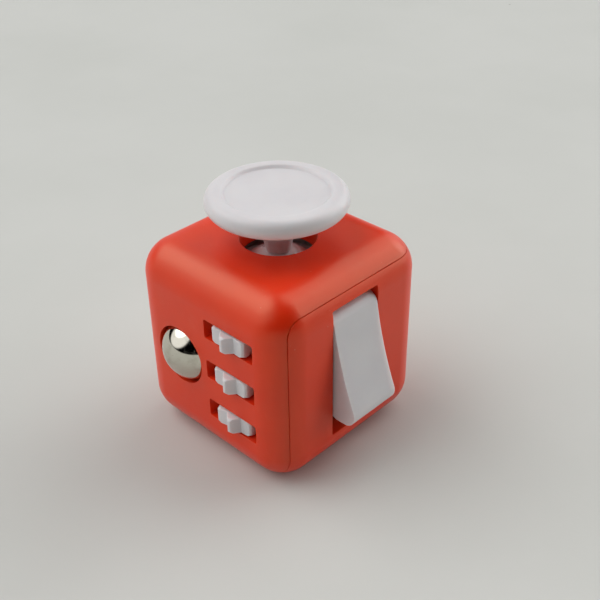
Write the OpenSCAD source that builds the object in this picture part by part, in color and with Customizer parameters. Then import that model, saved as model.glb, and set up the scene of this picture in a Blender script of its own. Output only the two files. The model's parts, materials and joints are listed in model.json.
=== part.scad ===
// Fidget cube: a rounded square case in two three-sided halves. Each of its six faces holds a
// different thing to fidget with: a joystick (top), a steel ball and three cogs (front, -Y),
// a rocker switch (right, +X), five push buttons (back, +Y), a dial (left, -X) and a thumb
// rest dished into the base. The origin is at the middle of the base face, with +Z up.

/* [Case] */
// Edge length of the case
case_size = 33; // [32:0.5:36]
// Radius of the case's rounded edges
edge_r = 5.7; // [5:0.1:6.2]
// Thickness of the case's walls
wall = 2.5; // [2.4:0.1:2.6]
// Open width of the line where the two halves meet
seam_gap = 0.12; // [0.06:0.02:0.2]
// Radius of the turn that this line takes on a face
seam_turn_r = 2.8; // [2:0.2:4]
// Radius of the thumb rest in the base
thumb_r = 9.2; // [7:0.2:9.6]
// Depth of the thumb rest
thumb_depth = 1.3; // [0.8:0.1:1.5]

/* [Joystick] */
// Radius of the thumb disc
disc_r = 11.1; // [10:0.1:11.4]
// Thickness of the thumb disc at its rim
disc_h = 3.1; // [2.6:0.1:3.2]
// Height of the disc's top above the base
disc_top = 41; // [39.5:0.1:41.5]
// Radius of the shallow dish in the disc
dish_r = 8.3; // [7:0.1:8.6]
// Depth of that dish
dish_depth = 0.45; // [0.2:0.05:0.7]
// Radius of the hole in the case's top
stick_hole_r = 6; // [5.9:0.1:6.2]
// Height of the joystick's pivot
pivot_z = 22.8; // [22.7:0.1:22.9]
// Outer radius of the dome that closes the hole from below
dome_r = 8; // [7.8:0.05:8]

/* [Ball and cogs] */
// Radius of the steel ball
ball_r = 5.5; // [5.4:0.02:5.54]
// Radius of the ball's opening
ball_hole_r = 5; // [4.9:0.05:5]
// How far the ball presses in
ball_travel = 1; // [0.4:0.1:1]
// Middle of the ball along X
ball_x = -5.8; // [-5.9:0.05:-5.75]
// Height of the ball
ball_z = 16.2; // [16:0.1:16.3]
// Height of the middle cog
roll_z = 16.8; // [16.6:0.1:17]
// Middle of the cogs along X
cog_x = 5.7; // [5.65:0.05:5.75]
// Height from one cog to the next
cog_pitch = 7.5; // [7.3:0.1:7.6]
// Radius over a cog's teeth
cog_r = 4.6; // [4.4:0.05:4.6]
// Radius at the bottom of a cog's teeth
cog_root_r = 3.55; // [3.4:0.05:3.7]
// Teeth on each cog
cog_teeth = 8; // [8:8:8]
// Thickness of a cog
cog_h = 2.8; // [2.4:0.1:2.8]
// Width of a cog's slot
slot_w = 10.4; // [10.2:0.1:10.5]
// Height of a cog's slot
slot_h = 3.3; // [3.2:0.1:3.6]

/* [Rocker] */
// Width of the rocker across its face
rocker_w = 9.6; // [9:0.1:9.6]
// Length of the rocker's face from corner to corner
rocker_len = 19.3; // [18.8:0.1:19.3]
// Middle of the rocker along Y
rocker_y = -0.4; // [-0.5:0.1:-0.3]
// Height of the rocker's middle
rocker_z = 17.3; // [17.2:0.1:17.4]
// How far the rocker leans to each side of its middle position
rocker_lean = 16; // [12:0.5:16]
// Width of the rocker's opening
rocker_hole_w = 10.1; // [10.1:0.1:10.4]
// Height of the rocker's opening
rocker_hole_h = 23.2; // [23:0.1:23.4]

/* [Buttons] */
// Radius of a button
button_r = 2.75; // [2.5:0.05:2.8]
// How far a button stands out of the case
button_rise = 1.4; // [1.2:0.1:1.6]
// How far a button presses in
button_travel = 1.2; // [0.8:0.1:1.2]
// Distance from the middle button to the others, along each side of the face
button_pitch = 6.8; // [6.6:0.1:6.9]

/* [Dial] */
// Radius of the dial
dial_r = 9.1; // [8.8:0.1:9.2]
// How far the dial stands out of the case
dial_rise = 0.8; // [0.6:0.1:1]
// Radius of the finger nub on the dial
nub_r = 2; // [1.8:0.1:2.2]
// Distance of the nub from the dial's middle
nub_offset = 5; // [4.6:0.1:5]

/* [Hidden] */
$fn = 64;

// Colours
case_red = [0.80, 0.27, 0.17];
milk_white = [0.90, 0.88, 0.88];
part_white = [0.82, 0.82, 0.80];
steel = [0.70, 0.70, 0.72];
spring_steel = [0.55, 0.55, 0.58];

// A cut runs this far past the face it starts from
past = 1;
// Parts of one solid run this far into each other
overlap = 0.1;
// A face that meets another in the same body stands this far off it
touch = 0.02;
// Clearance round a pin that turns in a hole
running = 0.06;
// Clearance round a screw or a stem that passes through a hole
loose = 0.1;

// Case
outer = case_size / 2;
inner = outer - wall;
case_mid = case_size / 2;
roof_z = case_size - wall;
outer_facets = 48;
inner_facets = 24;
// Width of the bevel round the joystick hole
mouth = 0.15;
// Collar round the joystick hole, under the roof
stick_collar_t = 0.8;
stick_collar_z = 29.6;

// Ribs that locate one half of the case in the other
rib_t = 0.9;
rib_inset = 0.1;
rib_reach = 1.4;
rib_gap = 0.1;
roof_rib_half = 4;
front_rib_x = [-8, -2];
left_rib_half = 6;

// Screws: a pan head on a plain shank, in a blind hole
screw_r = 0.6;
screw_hole_r = 0.62;
screw_head_r = 1.2;
screw_head_h = 0.8;
screw_cross = [1.3, 0.3, 0.5];
boss_r = 1.7;

// Springs
coil_steps = 12;
coil_sides = 6;

// ---------- Shapes that repeat ----------

// A cube about its middle, with every edge and corner rounded
module rounded_cube(size, r, facets) {
  c = size / 2 - r;
  hull() {
    for (x = [-c, c], y = [-c, c], z = [-c, c])
      translate([x, y, z]) sphere(r = r, $fn = facets);
    // flats at the full size, which a faceted sphere falls just short of
    cube([size, 2 * c, 2 * c], center = true);
    cube([2 * c, size, 2 * c], center = true);
    cube([2 * c, 2 * c, size], center = true);
  }
}

// A rectangle about its middle with rounded corners, as boxes and discs
module rounded_bar(w, d, h, r) {
  translate([-w / 2 + r, -d / 2, 0]) cube([w - 2 * r, d, h]);
  translate([-w / 2, -d / 2 + r, 0]) cube([w, d - 2 * r, h]);
  for (x = [-1, 1], y = [-1, 1])
    translate([x * (w / 2 - r), y * (d / 2 - r), 0]) cylinder(h = h, r = r);
}

// A box from its low corner to its high corner
module span(low, high) {
  translate(low) cube(high - low);
}

// A cylinder from z = low to z = high
module post(r, low, high) {
  translate([0, 0, low]) cylinder(h = high - low, r = r);
}

// A coil of round wire, standing on z = 0
module coil(mean_r, wire_r, height, turns) {
  rings = turns * coil_steps;
  rise = height - 2 * wire_r;
  points = [
    for (i = [0:rings], k = [0:coil_sides - 1])
      let (turn = 360 * i / coil_steps, round = 360 * k / coil_sides)
      let (reach = mean_r + wire_r * cos(round))
      [reach * cos(turn), reach * sin(turn), wire_r + rise * i / rings + wire_r * sin(round)]
  ];
  skin = [
    for (i = [0:rings - 1], k = [0:coil_sides - 1], half = [0, 1])
      let (a = i * coil_sides + k, b = i * coil_sides + (k + 1) % coil_sides)
      half == 0 ? [a, b, b + coil_sides] : [a, b + coil_sides, a + coil_sides]
  ];
  first_end = [for (k = [coil_sides - 1:-1:0]) k];
  last_end = [for (k = [0:coil_sides - 1]) rings * coil_sides + k];
  polyhedron(points = points, faces = concat(skin, [first_end], [last_end]));
}

// A pan-head screw that points up +Z, with the underside of its head at z = 0
module screw(length, head_r = screw_head_r) {
  crown_r = 1.5 * head_r;
  post(screw_r, -screw_head_h / 2, length);
  difference() {
    intersection() {
      post(head_r, -screw_head_h, 0);
      translate([0, 0, crown_r - screw_head_h]) sphere(r = crown_r);
    }
    for (turn = [0, 90]) rotate(turn)
      translate([0, 0, -screw_head_h]) cube(screw_cross, center = true);
  }
}

// ---------- Case ----------

// The base half's own part of space: a corner block whose three inner edges are rounded
module base_side(gap) {
  low = -inner + gap;
  top = roof_z - gap;
  reach = case_size;
  r = seam_turn_r;
  // rounded along X, at low Y and high Z
  intersection() {
    union() {
      span([-reach, low + r, -reach], [reach, reach, top]);
      span([-reach, low, -reach], [reach, reach, top - r]);
      translate([-reach, low + r, top - r]) rotate([0, 90, 0]) cylinder(h = 2 * reach, r = r);
    }
    union() {
      span([low + r, -reach, -reach], [reach, reach, top]);
      span([low, -reach, -reach], [reach, reach, top - r]);
      translate([low + r, reach, top - r]) rotate([90, 0, 0]) cylinder(h = 2 * reach, r = r);
    }
    union() {
      span([low + r, low, -reach], [reach, reach, reach]);
      span([low, low + r, -reach], [reach, reach, reach]);
      translate([low + r, low + r, -reach]) cylinder(h = 2 * reach, r = r);
    }
  }
}

module case_skin() {
  translate([0, 0, case_mid]) difference() {
    rounded_cube(case_size, edge_r, outer_facets);
    rounded_cube(case_size - 2 * wall, edge_r - wall, inner_facets);
  }
}

// Cog slots, front face
cog_zs = [for (step = [1, 0, -1]) roll_z + step * cog_pitch];
cog_axle_y = -13.3;
axle_r = 0.8;
slot_corner_r = 0.3;
// Heights of the arms that hold the axle, from the top one down
arm_zs = [roll_z + 10.4, roll_z + 3.7, roll_z - 3.7, roll_z - 10.4];
groove_end = 1.2;

// Ball opening
lip = 1;
ball_y = -13.1;
ball_pocket_r = ball_r + 0.25;
ball_pocket_y = 3;

// Joystick screw bosses, under the roof
stick_screw = 8.2;
stick_boss_low = 28.2;
stick_screw_end = 32;

// Roll bracket screws, on the front wall: [x, z, end of the boss along Y]
roll_screw_at = [[-11.2, 24.4, -7.2], [-11.2, 9.2, -7.2], [12.3, roll_z, -10.6]];
roll_boss_r = 1.5;
roll_hole_depth = 3.6;

// Boss for the dial's detent, on the left wall
detent_y = 8.3;
detent_boss_h = 1.6;
detent_boss_r = 1.5;
detent_hole_x = -inner - 1.2;
detent_hole_len = 4;

// Ribs on the top half that sit in grooves just inside the base half's walls
module locating_ribs(grow) {
  near = inner - rib_inset - rib_t - grow;
  far = inner - rib_inset + grow;
  low = roof_z - rib_reach - grow;
  half = roof_rib_half + grow;
  span([near, -half, low], [far, half, roof_z + past]);
  span([-half, near, low], [half, far, roof_z + past]);
  floor_low = wall + rib_inset - grow;
  floor_high = wall + rib_inset + rib_t + grow;
  end = -inner + rib_reach + grow;
  side = left_rib_half + grow;
  span([front_rib_x[0] - grow, -inner - past, floor_low], [front_rib_x[1] + grow, end, floor_high]);
  span([-inner - past, -side, floor_low], [end, side, floor_high]);
}

module roll_bosses(grow) {
  for (at = roll_screw_at)
    translate([at[0], at[2] + grow, at[1]]) rotate([90, 0, 0])
      cylinder(h = at[2] + inner + past, r = roll_boss_r + grow);
}

module top_shell() {
  color(case_red) difference() {
    union() {
      difference() {
        case_skin();
        base_side(0);
      }
      locating_ribs(0);
      // screw bosses for the joystick and for the roll bracket
      for (x = [-1, 1], y = [-1, 1])
        translate([x * stick_screw, y * stick_screw, 0]) post(boss_r, stick_boss_low, roof_z + past);
      post(stick_hole_r + stick_collar_t, stick_collar_z, roof_z + past);
      roll_bosses(0);
      // boss for the dial's detent spring
      translate([-inner - past, detent_y, case_mid]) rotate([0, 90, 0])
        cylinder(h = past + detent_boss_h, r = detent_boss_r);
    }
    // joystick hole, with a softened mouth
    post(stick_hole_r, stick_collar_z - past, case_size + past);
    translate([0, 0, case_size - mouth])
      cylinder(h = 2 * mouth, r1 = stick_hole_r, r2 = stick_hole_r + 2 * mouth);
    for (x = [-1, 1], y = [-1, 1])
      translate([x * stick_screw, y * stick_screw, 0])
        post(screw_hole_r, stick_boss_low - past, stick_screw_end);
    for (at = roll_screw_at)
      translate([at[0], at[2] + past, at[1]]) rotate([90, 0, 0])
        cylinder(h = past + roll_hole_depth, r = screw_hole_r);
    // ball opening: a thin lip in front of a wider pocket
    translate([ball_x, 0, ball_z]) rotate([90, 0, 0]) {
      post(ball_hole_r, inner - past, outer + past);
      post(ball_pocket_r, inner - ball_pocket_y, outer - lip);
    }
    // cog slots and the groove that the axle lies in
    for (z = cog_zs)
      translate([cog_x, -inner + past, z]) rotate([90, 0, 0])
        rounded_bar(slot_w, slot_h, wall + 2 * past, slot_corner_r);
    translate([cog_x, cog_axle_y, 0])
      post(axle_r + loose, arm_zs[3] - groove_end, arm_zs[0] + groove_end);
    // dial recess, shaft bore and detent screw hole
    translate([0, 0, case_mid]) rotate([0, -90, 0]) {
      post(dial_r + dial_gap, outer - dial_recess, outer + past);
      post(dial_shaft_r + running, inner - past, outer);
    }
    translate([detent_hole_x, detent_y, case_mid]) rotate([0, 90, 0])
      cylinder(h = detent_hole_len, r = screw_hole_r);
  }
}

// Rocker cradle screws, on the right wall: [y, z]
cradle_screw_at = [[-8.3, 25], [7.6, 9.5]];
cradle_boss_x = 12.7;
cradle_hole_depth = 2.4;
// Button guide screws, on the back wall
guide_screw_x = 6.8;
guide_boss_y = 10.5;
guide_hole_depth = 4;
button_hole_r = button_r + 0.15;
button_at = [
  [-button_pitch, case_mid + button_pitch], [button_pitch, case_mid + button_pitch],
  [0, case_mid],
  [-button_pitch, case_mid - button_pitch], [button_pitch, case_mid - button_pitch]
];

module base_shell() {
  thumb_sphere_r = (thumb_r * thumb_r + thumb_depth * thumb_depth) / (2 * thumb_depth);
  color(case_red) difference() {
    union() {
      intersection() {
        case_skin();
        base_side(seam_gap);
      }
      for (at = cradle_screw_at)
        translate([cradle_boss_x, at[0], at[1]]) rotate([0, 90, 0])
          cylinder(h = inner - cradle_boss_x + past, r = boss_r);
      for (x = [-guide_screw_x, guide_screw_x])
        translate([x, guide_boss_y, case_mid]) rotate([-90, 0, 0])
          cylinder(h = inner - guide_boss_y + past, r = boss_r);
    }
    // grooves and room for what reaches in from the top half
    locating_ribs(rib_gap);
    roll_bosses(rib_gap);
    // rocker opening
    translate([inner - past, rocker_y, rocker_z]) rotate([0, 90, 0])
      rounded_bar(rocker_hole_h, rocker_hole_w, wall + 2 * past, slot_corner_r);
    // button holes
    for (at = button_at)
      translate([at[0], inner - past, at[1]]) rotate([-90, 0, 0])
        cylinder(h = wall + 2 * past, r = button_hole_r);
    for (at = cradle_screw_at)
      translate([cradle_boss_x - past, at[0], at[1]]) rotate([0, 90, 0])
        cylinder(h = past + cradle_hole_depth, r = screw_hole_r);
    for (x = [-guide_screw_x, guide_screw_x])
      translate([x, guide_boss_y - past, case_mid]) rotate([-90, 0, 0])
        cylinder(h = past + guide_hole_depth, r = screw_hole_r);
    // thumb rest
    translate([0, 0, thumb_depth - thumb_sphere_r]) sphere(r = thumb_sphere_r, $fn = 128);
  }
}

// ---------- Joystick (top face) ----------

disc_low = disc_top - disc_h;
stem_top_r = 3.7;
stem_low_r = 1.95;
stem_low_z = 30.9;
stem_rib_t = 0.5;
stem_rib_low_r = 2.1;
stem_rib_low_z = stem_low_z + 0.4;
stem_rib_top_r = 4.3;
peg_r = 1.2;
peg_low_z = 27.6;
dome_t = 0.9;
// The dome is the part of its sphere within this angle of straight up
dome_angle = 56;
dome_low_z = pivot_z + dome_r * cos(dome_angle);
// Rim under the dome that the spring pushes on
dome_rim_out_r = 7.25;
dome_rim_in_r = 6.1;
dome_rim_h = 0.6;
// Moulding slots in the dome beside the stem
dome_slot = [0.7, 2, 4];
dome_slot_x = 2.75;
stem_flat_r = stem_low_r + 0.4;
foot_r = 1.9;
foot_low_z = 21.5;
stick_pin_r = 0.6;
ring_out_r = 4.4;
ring_in_r = 3;
ring_h = 2.1;
ear_in = 4.6;
ear_out = 5.8;
ear_w = 3.2;
cup_out_r = 9.3;
cup_in_r = 8.4;
cup_low_z = 20.1;
cup_floor_z = 20.7;
cup_top_z = roof_z - loose;
flange_low_z = 26.8;
flange_r = 1.9;
stick_coil_r = 6.8;
stick_wire_r = 0.25;
stick_coil_turns = 4;
stick_screw_len = 4.2;

// Outline of the disc: a round rim, and a dish with a soft edge in its top
module disc_outline() {
  rim = disc_h / 2;
  soft = 0.7;
  steps = 10;
  rim_arc = [for (i = [0:steps]) let (a = -90 + 180 * i / steps)
    [disc_r - rim + rim * cos(a), disc_low + rim + rim * sin(a)]];
  dish_edge = [for (i = [0:steps]) let (t = i / steps)
    [dish_r + soft / 2 - soft * t, disc_top - dish_depth * t * t * (3 - 2 * t)]];
  polygon(concat([[0, disc_low]], rim_arc, dish_edge, [[0, disc_top - dish_depth]]));
}

module glide_cap() {
  color(milk_white) {
    rotate_extrude($fn = 96) disc_outline();
    translate([0, 0, stem_low_z])
      cylinder(h = disc_low - stem_low_z + overlap, r1 = stem_low_r, r2 = stem_top_r);
    // ribs that stiffen the stem where it meets the disc
    for (turn = [45:90:315]) rotate(turn)
      rotate([90, 0, 0]) linear_extrude(height = stem_rib_t, center = true)
        polygon([
          [0, stem_rib_low_z], [stem_rib_low_r, stem_rib_low_z],
          [stem_rib_top_r, disc_low + overlap], [0, disc_low + overlap]
        ]);
    post(peg_r, peg_low_z, stem_low_z + overlap);
  }
}

module glide_stick() {
  color(milk_white) difference() {
    union() {
      // dome with a short rim for the spring
      intersection() {
        translate([0, 0, pivot_z]) difference() {
          sphere(r = dome_r, $fn = 96);
          sphere(r = dome_r - dome_t, $fn = 96);
        }
        post(dome_r, dome_low_z, stem_low_z);
      }
      difference() {
        post(dome_rim_out_r, dome_low_z - touch, dome_low_z + dome_rim_h);
        post(dome_rim_in_r, dome_low_z - past, dome_low_z + past);
      }
      post(foot_r, foot_low_z, pivot_z + dome_r - dome_t / 2);
    }
    post(peg_r + touch, peg_low_z - touch, case_size);
    // flat that the stem's shoulder sits on
    post(stem_flat_r, stem_low_z - touch, case_size);
    // pin hole across the foot
    translate([0, 0, pivot_z]) rotate([90, 0, 0])
      cylinder(h = 2 * foot_r + past, r = stick_pin_r + touch, center = true);
    // two moulding slots beside the stem
    for (side = [-1, 1])
      translate([side * dome_slot_x, 0, pivot_z + dome_r - dome_t]) cube(dome_slot, center = true);
  }
}

module glide_pin() {
  color(steel) translate([0, 0, pivot_z]) rotate([90, 0, 0])
    cylinder(h = 2 * ring_out_r - 4 * loose, r = stick_pin_r, center = true);
}

module glide_gimbal() {
  color(part_white) translate([0, 0, pivot_z]) difference() {
    post(ring_out_r, -ring_h / 2, ring_h / 2);
    post(ring_in_r, -ring_h, ring_h);
    rotate([90, 0, 0])
      cylinder(h = 3 * ring_out_r, r = stick_pin_r + running, center = true);
    rotate([0, 90, 0])
      cylinder(h = 3 * ring_out_r, r = stick_pin_r + touch, center = true);
  }
}

module gimbal_pins() {
  color(steel) for (side = [0, 180])
    translate([0, 0, pivot_z]) rotate(side) rotate([0, 90, 0])
      post(stick_pin_r, ring_in_r + loose, ear_out);
}

module glide_housing() {
  color(part_white) difference() {
    union() {
      difference() {
        union() {
          post(cup_out_r, cup_low_z, cup_top_z);
          // screw ears, each on an arm that leaves the cup towards a corner of the case
          for (turn = [45:90:315]) rotate(turn) {
            reach = stick_screw * sqrt(2);
            flange_top_z = stick_boss_low - touch;
            span([(cup_in_r + cup_out_r) / 2, -flange_r, flange_low_z], [reach, flange_r, flange_top_z]);
            translate([reach, 0, 0]) post(flange_r, flange_low_z, flange_top_z);
          }
        }
        post(cup_in_r, cup_floor_z, roof_z + past);
      }
      // ears that hold the gimbal
      for (side = [0, 180]) rotate(side) {
        span([ear_in, -ear_w / 2, cup_low_z], [ear_out, ear_w / 2, pivot_z]);
        translate([0, 0, pivot_z]) rotate([0, 90, 0]) post(ear_w / 2, ear_in, ear_out);
      }
    }
    translate([0, 0, pivot_z]) rotate([0, 90, 0])
      cylinder(h = 2 * ear_out + past, r = stick_pin_r + running, center = true);
    for (x = [-1, 1], y = [-1, 1])
      translate([x * stick_screw, y * stick_screw, 0])
        post(screw_r + loose, flange_low_z - past, roof_z);
  }
}

module glide_spring() {
  color(spring_steel) translate([0, 0, cup_floor_z + touch])
    coil(stick_coil_r, stick_wire_r, dome_low_z - cup_floor_z - 3 * touch, stick_coil_turns);
}

module glide_screws() {
  color(steel) for (x = [-1, 1], y = [-1, 1])
    translate([x * stick_screw, y * stick_screw, flange_low_z - touch]) screw(stick_screw_len);
}

// ---------- Ball and cogs (front face) ----------

seat_r = 2.6;
seat_front_y = ball_y + 4;
seat_back_y = -5.8;
seat_gap = 0.05;
barrel_in_r = seat_r + 0.08;
barrel_out_r = 3.5;
barrel_front_y = -7.1;
barrel_back_y = -1.4;
barrel_floor_y = -2.2;
stop_r = 1.2;
ball_coil_r = 1.9;
ball_wire_r = 0.22;
ball_coil_turns = 4;
cog_bore_r = axle_r + 0.08;
cog_phase = [0, 2, 7];
cog_chamfer = 0.35;
// How far the teeth's points would reach past their blunt tips
cog_blunt = 0.25;
detent_reach = 4.25;

// Bracket behind the front wall: a side plate, a back plate and arms
bracket_front_y = -inner + 0.25;
bracket_low_z = 5.5;
bracket_top_z = 19.6;
side_low_x = 10.8;
side_high_x = 11.6;
side_back_y = -6.7;
side_narrow_y = -10.1;
arm_low_x = cog_x - 1.6;
arm_back_y = -11.85;
arm_half_h = 0.7;
plate_back_y = -5.9;
plate_step_y = -8.3;
plate_step_x = [-0.6, 0.2, 0.8];
plate_low_x = -11.4;
plate_low_z = 8;
upright_x = [-12.8, -9.9];
upright_z = [7.6, 26];
tab_y = [-10.5, -9.4];
tab_high_x = 13.7;
tab_half_h = 1.5;
roll_screw_len = 3.7;

module roll_ball() {
  color(steel) translate([ball_x, ball_y, ball_z]) sphere(r = ball_r, $fn = 96);
}

module ball_seat() {
  color(part_white) difference() {
    translate([ball_x, seat_back_y, ball_z]) rotate([90, 0, 0])
      cylinder(h = seat_back_y - seat_front_y, r = seat_r);
    translate([ball_x, ball_y, ball_z]) sphere(r = ball_r + seat_gap, $fn = 96);
  }
}

module ball_spring() {
  color(spring_steel) translate([ball_x, barrel_floor_y - touch, ball_z]) rotate([90, 0, 0])
    coil(ball_coil_r, ball_wire_r, barrel_floor_y - seat_back_y - 3 * touch, ball_coil_turns);
}

module roll_bracket() {
  color(part_white) difference() {
    union() {
      // side plate, deeper below the joystick, and the four arms that hold the axle
      span([side_low_x, bracket_front_y, arm_zs[3] - arm_half_h],
        [side_high_x, side_narrow_y, arm_zs[0] + arm_half_h]);
      span([side_low_x, bracket_front_y, bracket_low_z], [side_high_x, side_back_y, bracket_top_z]);
      for (z = arm_zs)
        span([arm_low_x, bracket_front_y, z - arm_half_h], [side_high_x, arm_back_y, z + arm_half_h]);
      // back plate: forward behind the two lower cogs, then a step back behind the ball
      span([plate_step_x[1], plate_step_y, bracket_low_z], [side_high_x, side_back_y, bracket_top_z]);
      span([plate_step_x[0], plate_step_y, bracket_low_z], [plate_step_x[2], plate_back_y, bracket_top_z]);
      span([plate_low_x, barrel_front_y, plate_low_z], [plate_step_x[2], plate_back_y, bracket_top_z]);
      // upright that carries the two left screws
      span([upright_x[0], barrel_front_y, upright_z[0]], [upright_x[1], plate_back_y, upright_z[1]]);
      // barrel for the ball's seat
      translate([ball_x, 0, ball_z]) rotate([90, 0, 0])
        post(barrel_out_r, -barrel_back_y, -barrel_front_y);
      // tab for the right screw
      span([side_low_x, tab_y[0], roll_z - tab_half_h], [tab_high_x, tab_y[1], roll_z + tab_half_h]);
    }
    // bore of the barrel, round a stop that ends the ball's travel
    translate([ball_x, 0, ball_z]) rotate([90, 0, 0]) difference() {
      post(barrel_in_r, -barrel_floor_y, -barrel_front_y + past);
      post(stop_r, -barrel_floor_y - past, -seat_back_y - ball_travel - 2 * touch);
    }
    translate([cog_x, cog_axle_y, 0]) post(axle_r + touch, 0, case_size);
    // room for the right screw's boss and head
    boss_room = roll_boss_r + 2 * loose;
    span([side_low_x - past, -inner, roll_z - boss_room], [side_high_x + past, tab_y[0], roll_z + boss_room]);
    translate([roll_screw_at[2][0], tab_y[1], roll_z]) rotate([-90, 0, 0])
      cylinder(h = screw_head_h + 4 * loose, r = screw_head_r + 2 * loose);
    for (at = roll_screw_at)
      translate([at[0], at[2] - past, at[1]]) rotate([-90, 0, 0])
        cylinder(h = roll_screw_len, r = screw_r + loose);
  }
}

module cog_axle() {
  color(steel) translate([cog_x, cog_axle_y, 0])
    post(axle_r, arm_zs[3] - arm_half_h - 2 * loose, arm_zs[0] + arm_half_h + 2 * loose);
}

// A cog with pointed teeth, blunt at their tips and chamfered on both faces
module cog(phase) {
  star = [for (i = [0:2 * cog_teeth - 1])
    let (r = i % 2 == 0 ? cog_r + cog_blunt : cog_root_r, a = -90 + phase + 180 * i / cog_teeth)
    [r * cos(a), r * sin(a)]];
  half = cog_h / 2;
  bevel_r = cog_r - cog_chamfer;
  bevel_z = half - cog_chamfer;
  difference() {
    intersection() {
      linear_extrude(height = cog_h, center = true) polygon(star);
      rotate_extrude($fn = 96) polygon([
        [0, -half], [bevel_r, -half], [cog_r, -bevel_z],
        [cog_r, bevel_z], [bevel_r, half], [0, half]
      ]);
    }
    cylinder(h = 2 * cog_h, r = cog_bore_r, center = true);
  }
}

module placed_cog(index) {
  color(milk_white) translate([cog_x, cog_axle_y, cog_zs[index]]) cog(cog_phase[index]);
}

module cog_top() { placed_cog(0); }
module cog_middle() { placed_cog(1); }
module cog_bottom() { placed_cog(2); }

// A spring strip on the side plate, with a bump that drops between each cog's teeth
module cog_detent() {
  strip_x = 10.48;
  strip_y = [-11.8, -10.1];
  bump_r = 0.35;
  bump_half_h = 0.9;
  leaf_half_t = 0.15;
  end = 2;
  color(spring_steel) for (index = [0:2]) {
    low = cog_zs[index] - bump_half_h;
    high = cog_zs[index] + bump_half_h;
    turn = 180 / cog_teeth + cog_phase[index];
    bump_x = cog_x + (detent_reach + bump_r) * cos(turn);
    bump_y = cog_axle_y + (detent_reach + bump_r) * sin(turn);
    span([bump_x, bump_y - leaf_half_t, low], [strip_x + overlap, bump_y + leaf_half_t, high]);
    translate([bump_x, bump_y, 0]) post(bump_r, low, high);
  }
  color(spring_steel)
    span([strip_x, strip_y[0], cog_zs[2] - end], [side_low_x - touch, strip_y[1], cog_zs[0] + end]);
}

module roll_screws() {
  backs = [plate_back_y, plate_back_y, tab_y[1]];
  color(steel) for (i = [0:2]) {
    at = roll_screw_at[i];
    translate([at[0], backs[i] + touch, at[1]]) rotate([90, 0, 0]) screw(roll_screw_len);
  }
}

// ---------- Rocker (right face) ----------

pivot_x = 12.5;
rocker_pin_r = 0.8;
// Distance of the rocker's face from its pin, and how far the middle of the face is hollowed
rocker_front = 6.6;
rocker_dish = 0.7;
rocker_corner_r = 2.2;
// The ends slope in by this angle down to the shoulder, and the body then narrows to the hub
end_slope = 6.5;
shoulder_x = 2.2;
skirt = [0.6, 1.6];
waist = [-0.9, 2.6];
hub_r = 1.7;
notch_r = 0.55;
notch_len = 4;
nose_r = 0.4;
nose_len = 3.4;
nose_x = pivot_x - 1.9;

// Cradle: a channel round the rocker, open above and below, with two screw tabs
cheek_t = 0.9;
cheek_gap = 0.3;
cradle_back_x = 10.3;
cradle_back_t = 0.8;
cradle_half_h = 8.6;
tab_x = 11.6;
left_tab_y = -9.9;
left_tab_z = [23.4, 25.6];
right_tab_y = 9.2;
right_tab_z = [8.4, 11.1];
window = [2, 4, 3.2];
leaf = [0.25, 3.4, 12];
cradle_screw_len = 3;

// Outline of the rocker seen along its pin, about the pin's middle, with its face towards +X
module rocker_outline() {
  half = rocker_len / 2;
  face_steps = 12;
  corner_steps = 6;
  // the face ends at this share of the half length, where the corner starts
  share = (half - rocker_corner_r) / half;
  face = [for (i = [-face_steps:face_steps])
    let (t = i / face_steps * share)
    [rocker_front - rocker_dish * (1 - t * t), t * half]];
  corner_x = rocker_front - rocker_dish * (1 - share * share);
  corner = [for (i = [1:corner_steps]) let (a = 90 * i / corner_steps)
    [corner_x - rocker_corner_r * (1 - cos(a)), half - rocker_corner_r * (1 - sin(a))]];
  neck = [
    [shoulder_x, half - (rocker_front - shoulder_x) * tan(end_slope)],
    [skirt[0], half - skirt[1]],
    waist
  ];
  upper = concat(corner, neck);
  lower = [for (i = [len(upper) - 1:-1:0]) [upper[i][0], -upper[i][1]]];
  polygon(concat(lower, face, upper));
}

module rocker() {
  color(milk_white) translate([pivot_x, rocker_y, rocker_z]) rotate([0, -rocker_lean, 0])
    difference() {
      union() {
        rotate([90, 0, 0]) linear_extrude(height = rocker_w, center = true) rocker_outline();
        rotate([90, 0, 0]) cylinder(h = rocker_w, r = hub_r, center = true);
      }
      rotate([90, 0, 0])
        cylinder(h = rocker_w + past, r = rocker_pin_r + running, center = true);
      // two notches in the back of the hub that the spring drops into
      for (side = [-1, 1]) rotate([0, side * rocker_lean, 0])
        translate([nose_x - pivot_x, 0, 0]) rotate([90, 0, 0])
          cylinder(h = notch_len, r = notch_r, center = true);
    }
}

module rocker_pin() {
  length = rocker_w + 2 * cheek_gap + 2 * cheek_t - loose;
  color(steel) translate([pivot_x, rocker_y, rocker_z]) rotate([90, 0, 0])
    cylinder(h = length, r = rocker_pin_r, center = true);
}

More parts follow.
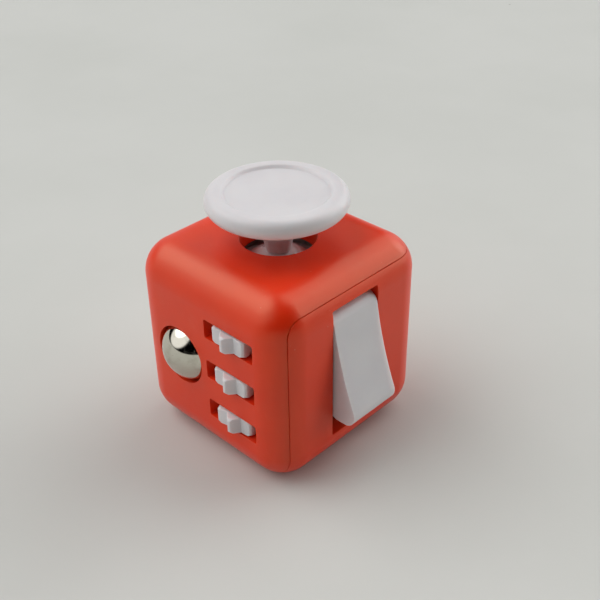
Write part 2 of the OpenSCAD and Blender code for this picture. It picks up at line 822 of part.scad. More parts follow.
module rocker_cradle() {
  half_in = rocker_w / 2 + cheek_gap;
  half_out = half_in + cheek_t;
  color(part_white) difference() {
    union() {
      difference() {
        translate([0, rocker_y, rocker_z])
          span([cradle_back_x - cradle_back_t, -half_out, -cradle_half_h],
            [inner - touch, half_out, cradle_half_h]);
        translate([0, rocker_y, rocker_z])
          span([cradle_back_x, -half_in, -cradle_half_h - past],
            [inner + past, half_in, cradle_half_h + past]);
      }
      span([tab_x, left_tab_y, left_tab_z[0]],
        [cradle_boss_x - touch, rocker_y - half_in, left_tab_z[1]]);
      span([tab_x, rocker_y + half_in, right_tab_z[0]],
        [cradle_boss_x - touch, right_tab_y, right_tab_z[1]]);
    }
    translate([pivot_x, rocker_y, rocker_z]) rotate([90, 0, 0])
      cylinder(h = 2 * half_out + past, r = rocker_pin_r + touch, center = true);
    // window behind the spring's nose
    translate([cradle_back_x, rocker_y, rocker_z]) cube(window, center = true);
    for (at = cradle_screw_at)
      translate([tab_x - past, at[0], at[1]]) rotate([0, 90, 0])
        cylinder(h = cradle_screw_len, r = screw_r + loose);
  }
}

// A strip on the cradle's back that presses a rounded nose into the rocker's hub
module rocker_spring() {
  color(spring_steel) translate([0, rocker_y, rocker_z]) {
    translate([nose_x, 0, 0]) rotate([90, 0, 0]) cylinder(h = nose_len, r = nose_r, center = true);
    translate([cradle_back_x + touch, -leaf[1] / 2, -leaf[2] / 2]) cube(leaf);
  }
}

module rocker_screws() {
  color(steel) for (at = cradle_screw_at)
    translate([tab_x - touch, at[0], at[1]]) rotate([0, 90, 0]) screw(cradle_screw_len);
}

// ---------- Buttons (back face) ----------

button_flange_r = 3.3;
button_flange_y = 12.95;
button_flange_t = 1;
button_soft = 0.5;
// Radius of the gentle crown on a button's face
crown_r = 12;
stem_r = 0.9;
stem_end = 0.3;
collar_r = 1.25;
button_coil_r = 1.6;
button_wire_r = 0.16;
button_coil_turns = 3;
guide_y = 9.5;
guide_half_w = 10.4;
guide_low_z = 6.6;
guide_high_z = 25.9;
guide_corner_r = 1.5;
guide_screw_len = 4;

// Half of a button's section: a cap with a soft edge and a gently crowned face
function button_outline() =
  let (top = wall + button_rise, steps = 6, r = button_soft)
  let (edge_r = button_r - r, fall = crown_r - sqrt(crown_r * crown_r - edge_r * edge_r))
  concat(
    [[0, -button_soft], [button_r, -button_soft]],
    [for (i = [0:steps]) let (a = 90 * i / steps)
      [edge_r + r * cos(a), top - fall - r + r * sin(a)]],
    [for (i = [1:steps]) let (x = edge_r * (1 - i / steps))
      [x, top - crown_r + sqrt(crown_r * crown_r - x * x)]]
  );

// A button that points along +Z from the inner face of the wall at z = 0
module button() {
  flange_low = button_flange_y - inner;
  post(button_flange_r, flange_low, flange_low + button_flange_t);
  rotate_extrude() polygon(button_outline());
  post(stem_r, guide_y - inner + stem_end, 0);
  // collar that meets the guide plate at the end of the travel
  post(collar_r, guide_boss_y + button_travel + touch - inner, 0);
}

module placed_button(index) {
  color(milk_white) translate([button_at[index][0], inner, button_at[index][1]])
    rotate([-90, 0, 0]) button();
}

module button_1() { placed_button(0); }
module button_2() { placed_button(1); }
module button_3() { placed_button(2); }
module button_4() { placed_button(3); }
module button_5() { placed_button(4); }

module placed_button_spring(index) {
  color(spring_steel)
    translate([button_at[index][0], guide_boss_y + touch, button_at[index][1]])
      rotate([-90, 0, 0]) coil(button_coil_r, button_wire_r,
        button_flange_y - guide_boss_y - 3 * touch, button_coil_turns);
}

module button_spring_1() { placed_button_spring(0); }
module button_spring_2() { placed_button_spring(1); }
module button_spring_3() { placed_button_spring(2); }
module button_spring_4() { placed_button_spring(3); }
module button_spring_5() { placed_button_spring(4); }

module button_guide() {
  color(part_white) difference() {
    translate([0, guide_y, (guide_low_z + guide_high_z) / 2]) rotate([-90, 0, 0])
      rounded_bar(2 * guide_half_w, guide_high_z - guide_low_z, guide_boss_y - guide_y - touch,
        guide_corner_r);
    for (at = button_at)
      translate([at[0], guide_y - past, at[1]]) rotate([-90, 0, 0])
        cylinder(h = guide_boss_y - guide_y + 2 * past, r = stem_r + 2 * loose);
    for (x = [-guide_screw_x, guide_screw_x])
      translate([x, guide_y - past, case_mid]) rotate([-90, 0, 0])
        cylinder(h = guide_boss_y - guide_y + 2 * past, r = screw_r + loose);
  }
}

module button_screws() {
  color(steel) for (x = [-guide_screw_x, guide_screw_x])
    translate([x, guide_y - touch, case_mid]) rotate([-90, 0, 0]) screw(guide_screw_len);
}

// ---------- Dial (left face) ----------

dial_recess = 1.2;
dial_gap = 0.3;
dial_back_x = -outer + dial_recess - 0.1;
dial_soft = 0.6;
// Radius of the hollow in the dial's face, and its depth at the middle
hollow_r = 40;
hollow_depth = 0.8;
nub_low = 0.4;
nub_rise = 0.9;
nub_crown = 0.6;
dial_shaft_r = 2.2;
dial_end_r = 1.5;
dial_shaft_len = 3;
dial_shoulder_z = -(wall - dial_recess) - 0.3;
dial_hole_floor = 0.2;
dial_screw_len = 2.4;
dial_screw_head_r = 2;
ratchet_r = 4.6;
ratchet_teeth = 18;
ratchet_tooth = 0.5;
ratchet_t = 1.2;
ratchet_x = -inner + 0.25;
detent_half_h = 1.2;
detent_t = 0.3;
detent_bump_r = 0.35;
detent_bump_x = -inner + 0.6;
detent_end_y = detent_y + 1.5;

// The dial stands on z = 0, the floor of its recess, and faces +Z
module dial() {
  top = dial_recess + dial_rise - loose;
  color(milk_white) translate([dial_back_x, 0, case_mid]) rotate([0, -90, 0]) {
    difference() {
      union() {
        post(dial_r, 0, top - dial_soft);
        post(dial_r - dial_soft, 0, top);
        translate([0, 0, top - dial_soft]) rotate_extrude($fn = 96)
          translate([dial_r - dial_soft, 0]) circle(r = dial_soft);
      }
      translate([0, 0, top + hollow_r - hollow_depth]) sphere(r = hollow_r, $fn = 256);
    }
    translate([nub_offset, 0, 0]) {
      post(nub_r, nub_low, top + nub_rise);
      translate([0, 0, top + nub_rise]) intersection() {
        sphere(r = nub_r);
        post(nub_r, -overlap, nub_crown);
      }
    }
    difference() {
      union() {
        post(dial_shaft_r, dial_shoulder_z, overlap);
        post(dial_end_r, -dial_shaft_len, overlap);
      }
      post(screw_hole_r, -dial_shaft_len - past, -dial_hole_floor);
    }
  }
}

// A toothed disc screwed to the shaft's end, just inside the wall
module dial_ratchet() {
  teeth = [for (i = [0:2 * ratchet_teeth - 1])
    let (r = i % 2 == 0 ? ratchet_r : ratchet_r - ratchet_tooth, a = 180 * i / ratchet_teeth)
    [r * cos(a), r * sin(a)]];
  color(part_white) translate([ratchet_x, 0, case_mid]) rotate([0, 90, 0]) difference() {
    linear_extrude(height = ratchet_t) polygon(teeth);
    post(dial_end_r + touch, -past, ratchet_t + past);
  }
}

module dial_screw() {
  color(steel) translate([dial_back_x + dial_shaft_len + touch, 0, case_mid]) rotate([0, -90, 0])
    screw(dial_screw_len, dial_screw_head_r);
}

// A sprung finger that clicks over the ratchet's teeth
module dial_detent() {
  foot_x = -inner + detent_boss_h;
  finger_y = [ratchet_r + detent_t, ratchet_r + 2 * detent_t];
  low_z = case_mid - detent_half_h;
  high_z = case_mid + detent_half_h;
  color(spring_steel) difference() {
    union() {
      span([foot_x + touch, finger_y[1], low_z], [foot_x + touch + detent_t, detent_end_y, high_z]);
      span([detent_bump_x, finger_y[0], low_z], [foot_x + detent_t, finger_y[1], high_z]);
      translate([detent_bump_x, ratchet_r + detent_bump_r + loose, 0])
        post(detent_bump_r, low_z, high_z);
    }
    translate([-inner, detent_y, case_mid]) rotate([0, 90, 0])
      cylinder(h = detent_hole_len, r = screw_r + loose);
  }
}

top_shell();
base_shell();
glide_cap();
glide_stick();
glide_pin();
glide_gimbal();
gimbal_pins();
glide_housing();
glide_spring();
glide_screws();
roll_ball();
ball_seat();
ball_spring();
roll_bracket();
cog_axle();
cog_top();
cog_middle();
cog_bottom();
cog_detent();
roll_screws();
rocker();
rocker_pin();
rocker_cradle();
rocker_spring();
rocker_screws();
button_1();
button_2();
button_3();
button_4();
button_5();
button_spring_1();
button_spring_2();
button_spring_3();
button_spring_4();
button_spring_5();
button_guide();
button_screws();
dial();
dial_ratchet();
dial_screw();
dial_detent();
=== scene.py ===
"""Looks for the fidget cube: its pieces' meshes and materials, the studio and the camera.

Lengths are in metres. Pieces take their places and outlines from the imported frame. The case's
edge radius, the joystick's peg and stem, and the widths of the bevels are set here.
"""
import json
import math

import bmesh
import bpy
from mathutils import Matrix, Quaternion, Vector


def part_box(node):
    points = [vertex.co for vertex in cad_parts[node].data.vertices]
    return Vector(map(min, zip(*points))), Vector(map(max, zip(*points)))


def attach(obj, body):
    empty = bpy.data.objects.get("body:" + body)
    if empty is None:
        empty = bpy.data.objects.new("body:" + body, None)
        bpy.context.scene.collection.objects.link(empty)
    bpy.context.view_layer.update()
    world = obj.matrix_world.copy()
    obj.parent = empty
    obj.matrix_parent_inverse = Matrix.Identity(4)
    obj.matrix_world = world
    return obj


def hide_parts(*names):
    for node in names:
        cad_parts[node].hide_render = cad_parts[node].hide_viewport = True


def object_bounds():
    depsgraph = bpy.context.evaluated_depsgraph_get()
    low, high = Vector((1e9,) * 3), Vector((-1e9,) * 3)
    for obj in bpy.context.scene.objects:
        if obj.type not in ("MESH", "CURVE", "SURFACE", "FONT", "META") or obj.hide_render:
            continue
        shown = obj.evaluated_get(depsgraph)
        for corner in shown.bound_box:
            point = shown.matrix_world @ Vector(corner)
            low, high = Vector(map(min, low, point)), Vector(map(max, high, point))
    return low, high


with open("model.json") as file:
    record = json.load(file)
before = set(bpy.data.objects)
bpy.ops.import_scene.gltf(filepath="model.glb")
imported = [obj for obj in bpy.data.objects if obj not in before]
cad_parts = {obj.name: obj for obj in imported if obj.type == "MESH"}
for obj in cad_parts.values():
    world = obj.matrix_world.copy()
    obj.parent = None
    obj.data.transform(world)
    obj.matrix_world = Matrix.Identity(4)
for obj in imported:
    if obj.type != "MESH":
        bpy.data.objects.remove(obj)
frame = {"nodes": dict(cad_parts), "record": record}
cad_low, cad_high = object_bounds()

MM = 0.001
SCENE = bpy.context.scene


# ---------- Node helpers ----------

class Nodes:
    """Builds one material's node tree with short calls."""

    def __init__(self, material):
        material.use_nodes = True
        self.tree = material.node_tree
        self.tree.nodes.clear()
        self.out = self.add("ShaderNodeOutputMaterial")
        self.shader = self.add("ShaderNodeBsdfPrincipled")
        self.link(self.shader.outputs["BSDF"], self.out.inputs["Surface"])
        self.place = self.add("ShaderNodeTexCoord").outputs["Object"]

    def add(self, kind, **settings):
        node = self.tree.nodes.new(kind)
        for name, value in settings.items():
            setattr(node, name, value)
        return node

    def link(self, source, target):
        self.tree.links.new(source, target)

    def noise(self, scale, detail=3.0, roughness=0.5, stretch=(1, 1, 1)):
        """A noise value; scale is in waves per metre."""
        node = self.add("ShaderNodeTexNoise")
        self.link(self.stretched(stretch), node.inputs["Vector"])
        node.inputs["Scale"].default_value = scale
        node.inputs["Detail"].default_value = detail
        node.inputs["Roughness"].default_value = roughness
        return node.outputs["Fac"]

    def stretched(self, stretch):
        if tuple(stretch) == (1, 1, 1):
            return self.place
        node = self.add("ShaderNodeMapping")
        self.link(self.place, node.inputs["Vector"])
        node.inputs["Scale"].default_value = stretch
        return node.outputs["Vector"]

    def cells(self, scale):
        """Distance to the nearest of scattered points; scale is in points per metre."""
        node = self.add("ShaderNodeTexVoronoi")
        self.link(self.place, node.inputs["Vector"])
        node.inputs["Scale"].default_value = scale
        return node.outputs["Distance"]

    def span(self, value, low, high, to_low=0.0, to_high=1.0):
        """value's range low to high, mapped smoothly to to_low to to_high."""
        node = self.add("ShaderNodeMapRange", interpolation_type="SMOOTHSTEP")
        self.link(value, node.inputs["Value"])
        for name, number in zip(("From Min", "From Max", "To Min", "To Max"),
                                (low, high, to_low, to_high)):
            node.inputs[name].default_value = number
        return node.outputs["Result"]

    def maths(self, operation, a, b):
        node = self.add("ShaderNodeMath", operation=operation)
        for socket, value in zip(node.inputs, (a, b)):
            if isinstance(value, (int, float)):
                socket.default_value = value
            else:
                self.link(value, socket)
        return node.outputs[0]

    def blend(self, factor, colour_a, colour_b):
        node = self.add("ShaderNodeMix", data_type="RGBA")
        self.link(factor, node.inputs["Factor"])
        for socket, colour in ((node.inputs[6], colour_a), (node.inputs[7], colour_b)):
            if isinstance(colour, tuple):
                socket.default_value = (*colour, 1.0)
            else:
                self.link(colour, socket)
        return node.outputs[2]

    def bump(self, height, distance, strength=1.0, before=None):
        node = self.add("ShaderNodeBump")
        self.link(height, node.inputs["Height"])
        node.inputs["Distance"].default_value = distance
        node.inputs["Strength"].default_value = strength
        if before is not None:
            self.link(before, node.inputs["Normal"])
        return node.outputs["Normal"]

    def set(self, **values):
        for name, value in values.items():
            socket = self.shader.inputs[name.replace("_", " ")]
            if isinstance(value, (int, float)):
                socket.default_value = value
            elif isinstance(value, tuple):
                socket.default_value = value if len(value) == len(socket.default_value) else (*value, 1.0)
            else:
                self.link(value, socket)


def material(name):
    made = bpy.data.materials.new(name)
    return made, Nodes(made)


# ---------- Materials ----------

def case_plastic():
    """Red-orange ABS from a finely textured mould: satin, slightly cloudy, with handling marks."""
    made, n = material("case_plastic")
    cloud = n.noise(90, 4, 0.55)
    grain = n.noise(5200, 2, 0.6)
    peel = n.noise(950, 2, 0.5)
    rubbed = n.span(n.noise(260, 5, 0.65, (1, 1, 0.6)), 0.56, 0.74)
    dust = n.span(n.cells(900), 0.05, 0.11, 1.0, 0.0)
    dust = n.maths("MULTIPLY", dust, n.span(n.noise(420, 3), 0.58, 0.66))
    colour = n.blend(n.span(cloud, 0.3, 0.7), (0.79, 0.027, 0.003), (0.84, 0.034, 0.004))
    colour = n.blend(n.maths("MULTIPLY", rubbed, 0.12), colour, (0.80, 0.10, 0.04))
    colour = n.blend(n.maths("MULTIPLY", dust, 0.35), colour, (0.85, 0.45, 0.32))
    rough = n.maths("ADD", n.span(cloud, 0.25, 0.75, 0.33, 0.40), n.maths("MULTIPLY", rubbed, -0.05))
    normal = n.bump(grain, 0.000012, 0.9)
    normal = n.bump(peel, 0.000022, 0.5, normal)
    n.set(Base_Color=colour, Roughness=rough, Normal=normal, Subsurface_Weight=0.3,
          Subsurface_Radius=(1.0, 0.2, 0.06), Subsurface_Scale=0.0022, IOR=1.62,
          Specular_Tint=(1.0, 0.86, 0.56))
    return made


def white_plastic():
    """Milk-white ABS that lets a little light through, with faint flow clouds and scuffs."""
    made, n = material("white_plastic")
    cloud = n.noise(140, 4, 0.5)
    grain = n.noise(4200, 2, 0.5)
    scuff = n.span(n.noise(700, 4, 0.7, (1, 0.25, 1)), 0.62, 0.78)
    colour = n.blend(n.span(cloud, 0.3, 0.7), (0.690, 0.668, 0.685), (0.725, 0.705, 0.715))
    colour = n.blend(n.maths("MULTIPLY", scuff, 0.2), colour, (0.62, 0.58, 0.57))
    rough = n.maths("ADD", n.span(cloud, 0.25, 0.75, 0.30, 0.37), n.maths("MULTIPLY", scuff, 0.12))
    normal = n.bump(grain, 0.000008, 0.8)
    normal = n.bump(n.noise(600, 2), 0.000016, 0.4, normal)
    n.set(Base_Color=colour, Roughness=rough, Normal=normal, Subsurface_Weight=0.5,
          Subsurface_Radius=(1.0, 0.8, 0.75), Subsurface_Scale=0.0022, IOR=1.49)
    return made


def frame_plastic():
    """Plain off-white nylon of the inner frames."""
    made, n = material("frame_plastic")
    cloud = n.noise(200, 3)
    colour = n.blend(n.span(cloud, 0.3, 0.7), (0.56, 0.56, 0.54), (0.64, 0.64, 0.61))
    n.set(Base_Color=colour, Roughness=n.span(cloud, 0.2, 0.8, 0.45, 0.6),
          Normal=n.bump(n.noise(2400, 3), 0.00002, 0.8), Subsurface_Weight=0.1,
          Subsurface_Radius=(1.0, 1.0, 0.9), Subsurface_Scale=0.001)
    return made


def polished_steel():
    """The ball: bright polish, pin-prick pits, smears and fine scratches."""
    made, n = material("polished_steel")
    pits = n.span(n.cells(2300), 0.05, 0.16, 1.0, 0.0)
    pits = n.maths("MULTIPLY", pits, n.span(n.noise(520, 4, 0.6), 0.47, 0.58))
    smear = n.span(n.noise(300, 5, 0.65), 0.45, 0.72)
    lines = n.span(n.noise(1400, 3, 0.6, (1, 0.05, 0.6)), 0.64, 0.7)
    colour = n.blend(smear, (0.64, 0.61, 0.53), (0.48, 0.45, 0.38))
    colour = n.blend(pits, colour, (0.16, 0.14, 0.12))
    rough = n.maths("ADD", n.span(smear, 0, 1, 0.075, 0.17), n.maths("MULTIPLY", pits, 0.35))
    rough = n.maths("ADD", rough, n.maths("MULTIPLY", lines, 0.12))
    normal = n.bump(n.maths("MULTIPLY", pits, -1.0), 0.00003, 0.6)
    n.set(Base_Color=colour, Metallic=1.0, Roughness=rough, Normal=normal)
    return made


def drawn_steel(name, colour_a, colour_b, rough, stretch):
    """Pins, springs and screws: drawn or plated steel with fine lines."""
    made, n = material(name)
    lines = n.noise(5200, 3, 0.6, stretch)
    stain = n.noise(420, 4)
    colour = n.blend(n.span(stain, 0.3, 0.7), colour_a, colour_b)
    n.set(Base_Color=colour, Metallic=1.0, Normal=n.bump(lines, 0.00001, 0.7),
          Roughness=n.maths("ADD", n.span(lines, 0.3, 0.7, rough, rough + 0.12),
                            n.span(stain, 0.5, 0.8, 0.0, 0.12)))
    return made


def floor_paper():
    """Pale grey studio paper, faintly mottled, with a few specks."""
    made, n = material("floor_paper")
    mottle = n.noise(14, 5, 0.55)
    specks = n.span(n.cells(34), 0.012, 0.02, 1.0, 0.0)
    colour = n.blend(n.span(mottle, 0.3, 0.7), (0.585, 0.592, 0.560), (0.615, 0.620, 0.590))
    colour = n.blend(n.maths("MULTIPLY", specks, 0.5), colour, (0.2, 0.18, 0.16))
    n.set(Base_Color=colour, Roughness=0.75, Specular_IOR_Level=0.25,
          Normal=n.bump(n.noise(1500, 4, 0.6), 0.00004, 0.35))
    return made


MATERIALS = {
    "case": case_plastic(),
    "white_plastic": white_plastic(),
    "frame_plastic": frame_plastic(),
    "ball_steel": polished_steel(),
    "steel_pin": drawn_steel("pin_steel", (0.62, 0.62, 0.63), (0.55, 0.55, 0.56), 0.2, (1, 1, 0.08)),
    "spring_steel": drawn_steel("wire_steel", (0.48, 0.48, 0.50), (0.40, 0.40, 0.42), 0.25, (1, 1, 1)),
    "screw_steel": drawn_steel("plated_steel", (0.60, 0.60, 0.58), (0.50, 0.50, 0.49), 0.28, (0.2, 1, 1)),
}


# ---------- Mesh helpers ----------

SLOT_OF = {s["node"]: s["material_slot"] for s in frame["record"]["subparts"]}
BODY_OF = {n: body for body, nodes in frame["record"]["behaviour"]["bodies"].items() for n in nodes}


def piece(name, mesh, stands_for):
    """A new object for one CAD node: same body, same slot, that slot's material."""
    made = bpy.data.objects.new(name, mesh)
    SCENE.collection.objects.link(made)
    slot = SLOT_OF[stands_for]
    mesh.materials.clear()
    mesh.materials.append(MATERIALS[slot])
    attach(made, BODY_OF[stands_for])
    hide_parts(stands_for)
    return made


def smooth(mesh, sharp_angle):
    """Smooth shading, broken where faces meet at more than sharp_angle degrees."""
    mesh.polygons.foreach_set("use_smooth", [True] * len(mesh.polygons))
    mesh.set_sharp_from_angle(angle=math.radians(sharp_angle))


def apply_modifiers(made):
    graph = bpy.context.evaluated_depsgraph_get()
    flat = bpy.data.meshes.new_from_object(made.evaluated_get(graph))
    made.modifiers.clear()
    made.data = flat


# Vertices closer than WELD are merged, and faces that meet at less than FLAT_ANGLE degrees
WELD = 0.002 * MM
FLAT_ANGLE = 0.6
# How much more a large face counts than a small one when normals are averaged
NORMAL_WEIGHT = 90


def refined(node, name, bevel, segments=3, bevel_angle=32, sharp_angle=40):
    """The CAD node's own shape with its hard edges rounded off by bevel metres."""
    mesh = bpy.data.meshes.new(name)
    work = bmesh.new()
    work.from_mesh(frame["nodes"][node].data)
    bmesh.ops.remove_doubles(work, verts=work.verts, dist=WELD)
    bmesh.ops.dissolve_degenerate(work, edges=work.edges, dist=WELD)
    bmesh.ops.dissolve_limit(work, verts=work.verts, edges=work.edges,
                             angle_limit=math.radians(FLAT_ANGLE))
    work.to_mesh(mesh)
    work.free()
    mesh.materials.clear()
    made = piece(name, mesh, node)
    edge = made.modifiers.new("edges", "BEVEL")
    edge.width = bevel
    edge.segments = segments
    edge.limit_method = "ANGLE"
    edge.angle_limit = math.radians(bevel_angle)
    edge.use_clamp_overlap = True
    edge.miter_outer = "MITER_ARC"
    bpy.context.view_layer.update()
    apply_modifiers(made)
    smooth(made.data, sharp_angle)
    weigh = made.modifiers.new("normals", "WEIGHTED_NORMAL")
    weigh.keep_sharp = True
    weigh.weight = NORMAL_WEIGHT
    return made


def lathe(name, rings, steps, stands_for, section=None):
    """A turned solid about the vertical axis through the middle of its CAD node's box.

    rings is a list of (radius, z); section(angle, radius, z) may vary the radius round a ring.
    """
    low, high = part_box(stands_for)
    cx, cy = (low.x + high.x) / 2, (low.y + high.y) / 2
    work = bmesh.new()
    grid = []
    for radius, z in rings:
        if radius == 0:
            grid.append([work.verts.new((cx, cy, z))])
            continue
        ring = []
        for i in range(steps):
            angle = math.tau * i / steps
            r = section(angle, radius, z) if section else radius
            ring.append(work.verts.new((cx + r * math.cos(angle), cy + r * math.sin(angle), z)))
        grid.append(ring)
    for a, b in zip(grid, grid[1:]):
        for i in range(steps):
            j = (i + 1) % steps
            if len(a) == 1:
                work.faces.new((a[0], b[i], b[j]))
            elif len(b) == 1:
                work.faces.new((a[i], b[0], a[j]))
            else:
                work.faces.new((a[i], b[i], b[j], a[j]))
    bmesh.ops.recalc_face_normals(work, faces=work.faces)
    mesh = bpy.data.meshes.new(name)
    work.to_mesh(mesh)
    work.free()
    smooth(mesh, 50)
    return piece(name, mesh, stands_for)


# ---------- Case ----------

# Radius of the case's rounded edges, as the CAD makes them
CASE_EDGE_R = 5.7 * MM
CASE_BEVEL = 0.14 * MM
# A vertex this close to the rounded cube's surface is on it. Its face takes the exact normal
# there if the two directions differ by less than SKIN_ANGLE, in degrees
SKIN_REACH = 0.02 * MM
SKIN_ANGLE = 9


def rounded_normals(made, centre, half, radius):
    """Gives the case's outer skin the exact normals of a rounded cube, so that its wide fillets
    shade as one smooth curve. Faces that lie on anything else keep their own normals."""
    mesh = made.data
    core = half - radius
    corner = [tuple(n.vector) for n in mesh.corner_normals]
    loops = [Vector(n) for n in corner]
    on_skin = {}
    for v in mesh.vertices:
        p = v.co - centre
        kept = Vector([max(-core, min(core, c)) for c in p])
        out = p - kept
        if abs(out.length - radius) < SKIN_REACH:
            on_skin[v.index] = out.normalized()
    for face in mesh.polygons:
        for loop in face.loop_indices:
            exact = on_skin.get(mesh.loops[loop].vertex_index)
            if exact and exact.angle(face.normal) < math.radians(SKIN_ANGLE):
                loops[loop] = exact
    mesh.normals_split_custom_set(loops)


def make_case():
    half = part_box("top_shell")[1].z / 2
    centre = Vector((0, 0, half))
    for node, name in (("top_shell", "case_top_half"), ("base_shell", "case_base_half")):
        made = refined(node, name, CASE_BEVEL)
        bpy.context.view_layer.update()
        apply_modifiers(made)
        rounded_normals(made, centre, half, CASE_EDGE_R)


# ---------- Joystick ----------

# The peg under the stem (length and radius as in the CAD), and the stem's radii as shares of
# the disc's
PEG_LENGTH = 3.3 * MM
PEG_R = 1.2 * MM
PEG_CHAMFER = 0.05 * MM
STEM_TOP_SHARE = 0.333
STEM_LOW_SHARE = 0.176
# Where the stem starts to spread under the disc, as a share of its height, and how far
SPREAD_START = 0.8
SPREAD = 0.6 * MM
# How much the stem's four ribs stand out, as a share of its radius
RIB_SHARE = 0.10
DOME_BEVEL = 0.1 * MM
# Width of the soft edge round the dish, as a share of the disc's radius
DISH_SOFT_SHARE = 0.07
# Steps round the cap, up its stem, round its rim and down into its dish
TURN_STEPS = 192
STEM_STEPS = 12
RIM_STEPS = 28
DISH_STEPS = 14


def make_joystick():
    low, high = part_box("glide_cap")
    turned = [(math.hypot(v.co.x, v.co.y), v.co.z) for v in frame["nodes"]["glide_cap"].data.vertices]
    disc_r = max(r for r, z in turned)
    under = min(z for r, z in turned if r > 0.6 * disc_r)
    disc_h = high.z - under
    rim = disc_h / 2
    dish_z = min(z for r, z in turned if z > under + 0.6 * disc_h and r < 0.8 * disc_r)
    dish_r = max(r for r, z in turned if abs(z - dish_z) < 0.01 * MM and r < 0.8 * disc_r) + 0.3 * MM
    dish_depth = high.z - dish_z
    soft = DISH_SOFT_SHARE * disc_r
    stem_top_r = STEM_TOP_SHARE * disc_r
    stem_low_r = STEM_LOW_SHARE * disc_r
    stem_low = low.z + PEG_LENGTH
    rings = [(0, low.z), (PEG_R - PEG_CHAMFER, low.z), (PEG_R, low.z + PEG_CHAMFER),
             (PEG_R, stem_low - 0.02 * MM), (stem_low_r, stem_low)]
    for i in range(1, STEM_STEPS + 1):
        t = i / STEM_STEPS
        flare = stem_low_r + (stem_top_r - stem_low_r) * t
        spread = SPREAD * (max(0.0, t - SPREAD_START) / (1 - SPREAD_START)) ** 2
        rings.append((flare + spread, stem_low + (under - stem_low) * t))
    rings += [(0.6 * disc_r, under), (disc_r - rim - 0.6 * MM, under)]
    rings += [(disc_r - rim + rim * math.cos(a), under + rim + rim * math.sin(a))
              for a in (math.radians(-90 + 180 * i / RIM_STEPS) for i in range(RIM_STEPS + 1))]
    for i in range(DISH_STEPS + 1):
        t = i / DISH_STEPS
        rings.append((dish_r + soft * (0.5 - t), high.z - dish_depth * t * t * (3 - 2 * t)))
    rings += [(0.45 * disc_r, high.z - dish_depth), (0.2 * disc_r, high.z - dish_depth),
              (0, high.z - dish_depth)]

    def ribbed(angle, radius, z):
        if not stem_low - 0.01 * MM < z < under - 0.01 * MM:
            return radius
        return radius * (1 + RIB_SHARE * abs(math.cos(2 * angle)) ** 6)

    lathe("joystick_cap", rings, TURN_STEPS, "glide_cap", ribbed)
    refined("glide_stick", "joystick_dome", DOME_BEVEL)


# ---------- Ball ----------

def make_ball():
    low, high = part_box("roll_ball")
    work = bmesh.new()
    bmesh.ops.create_icosphere(work, subdivisions=6, radius=(high.z - low.z) / 2)
    bmesh.ops.translate(work, verts=work.verts, vec=(low + high) / 2)
    mesh = bpy.data.meshes.new("steel_ball")
    work.to_mesh(mesh)
    work.free()
    smooth(mesh, 60)
    piece("steel_ball", mesh, "roll_ball")


# ---------- The rest ----------

COG_BEVEL = 0.2 * MM
ROCKER_BEVEL = 0.9 * MM
KNOB_BEVEL = 0.12 * MM
INNER_BEVEL = 0.08 * MM


def make_refined():
    for node in ("cog_top", "cog_middle", "cog_bottom"):
        refined(node, node + "_wheel", COG_BEVEL, segments=4, bevel_angle=25)
    refined("rocker", "rocker_paddle", ROCKER_BEVEL, segments=6, bevel_angle=35)
    refined("dial", "dial_wheel", KNOB_BEVEL)
    for i in range(1, 6):
        refined(f"button_{i}", f"push_button_{i}", KNOB_BEVEL)
    for node in ("glide_gimbal", "glide_housing", "ball_seat", "roll_bracket", "rocker_cradle",
                 "button_guide", "dial_ratchet"):
        refined(node, node + "_part", INNER_BEVEL, segments=2)


def dress_cad_nodes():
    """Materials for the CAD nodes that stay as they are: pins, springs and screws."""
    for node, made in frame["nodes"].items():
        made.data.materials.clear()
        made.data.materials.append(MATERIALS[SLOT_OF[node]])


# ---------- Studio ----------

def make_floor():
    """A round sheet of paper that curls up a little far away, so that no view looks past it."""
    flat_r, full_r, curl, sides = 1.0, 1.7, 0.13, 96
    radii = [0.0] + [flat_r * i / 8 for i in range(1, 9)]
    radii += [flat_r + (full_r - flat_r) * i / 12 for i in range(1, 13)]
    work = bmesh.new()
    rings = []
    for r in radii:
        rise = curl * max(0.0, (r - flat_r) / (full_r - flat_r)) ** 2
        turns = [math.tau * i / sides for i in range(sides if r else 1)]
        rings.append([work.verts.new((r * math.cos(a), r * math.sin(a), cad_low.z + rise))
                      for a in turns])
    for inner, outer in zip(rings, rings[1:]):
        for i in range(sides):
            j = (i + 1) % sides
            corners = [inner[0]] if len(inner) == 1 else [inner[i], inner[j]][::-1]
            work.faces.new(corners + [outer[i], outer[j]])
    bmesh.ops.recalc_face_normals(work, faces=work.faces)
    mesh = bpy.data.meshes.new("floor")
    work.to_mesh(mesh)
    work.free()
    smooth(mesh, 60)
    floor = bpy.data.objects.new("floor", mesh)
    mesh.materials.append(floor_paper())
    SCENE.collection.objects.link(floor)


# Soft lights round the object, each a pale disc of sky: azimuth from -Y towards +X, height
# above the floor, half its width (all in degrees) and its strength
SOFT_LIGHTS = [
    (322, 42, 36, 1.15),
    (300, 52, 24, 1.7),
    (250, 35, 26, 0.7),
    (150, 22, 25, 2.3),
    (183, 18, 22, 1.2),
    (180, 55, 22, 1.6),
]
# Half the width of each disc's soft edge, in degrees
SOFT_EDGE = 4


def towards(azimuth, height):
    """The direction at an azimuth (from -Y towards +X) and a height above the floor, in degrees."""
    a, h = math.radians(azimuth), math.radians(height)
    return Vector((math.sin(a) * math.cos(h), -math.cos(a) * math.cos(h), math.sin(h)))


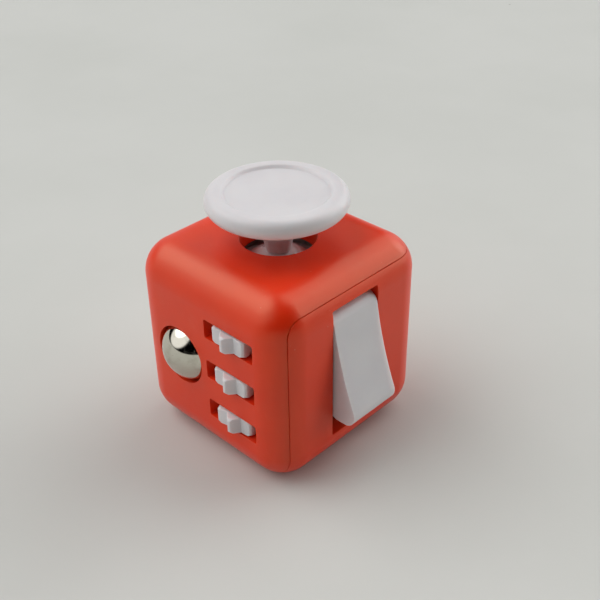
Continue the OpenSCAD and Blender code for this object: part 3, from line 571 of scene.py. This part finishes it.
def make_lights():
    """A dark world with the soft lights painted on it."""
    world = bpy.data.worlds.new("studio")
    world.use_nodes = True
    tree = world.node_tree
    back = tree.nodes["Background"]
    place = tree.nodes.new("ShaderNodeTexCoord").outputs["Generated"]
    total = None
    for azimuth, height, half_width, strength in SOFT_LIGHTS:
        closeness = tree.nodes.new("ShaderNodeVectorMath")
        closeness.operation = "DOT_PRODUCT"
        tree.links.new(place, closeness.inputs[0])
        closeness.inputs[1].default_value = towards(azimuth, height)
        disc = tree.nodes.new("ShaderNodeMapRange")
        disc.interpolation_type = "SMOOTHSTEP"
        tree.links.new(closeness.outputs["Value"], disc.inputs["Value"])
        disc.inputs["From Min"].default_value = math.cos(math.radians(half_width + SOFT_EDGE))
        disc.inputs["From Max"].default_value = math.cos(math.radians(half_width - SOFT_EDGE))
        disc.inputs["To Max"].default_value = strength
        if total is None:
            total = disc.outputs["Result"]
            continue
        both = tree.nodes.new("ShaderNodeMath")
        tree.links.new(total, both.inputs[0])
        tree.links.new(disc.outputs["Result"], both.inputs[1])
        total = both.outputs[0]
    tree.links.new(total, back.inputs["Strength"])
    back.inputs["Color"].default_value = (1, 1, 1, 1)
    SCENE.world = world


# Where the camera stands, what it looks at, its turn about its own axis (degrees) and its lens
CAMERA_AT = Vector((0.09266, -0.09040, 0.10680))
CAMERA_AIM = Vector((0.00082, 0.00379, 0.01959))
CAMERA_ROLL = -0.84
LENS_MM = 57.8
SENSOR_MM = 36


def make_camera():
    camera = bpy.data.cameras.new("camera")
    camera.sensor_width = SENSOR_MM
    camera.lens = LENS_MM
    camera.clip_start = 0.01
    made = bpy.data.objects.new("camera", camera)
    made.location = CAMERA_AT
    made.rotation_mode = "QUATERNION"
    level = (CAMERA_AIM - CAMERA_AT).to_track_quat("-Z", "Y")
    made.rotation_quaternion = level @ Quaternion((0, 0, 1), math.radians(CAMERA_ROLL))
    SCENE.collection.objects.link(made)
    SCENE.camera = made


make_case()
make_joystick()
make_ball()
make_refined()
dress_cad_nodes()
make_floor()
make_lights()
make_camera()
SCENE.view_settings.view_transform = "Standard"
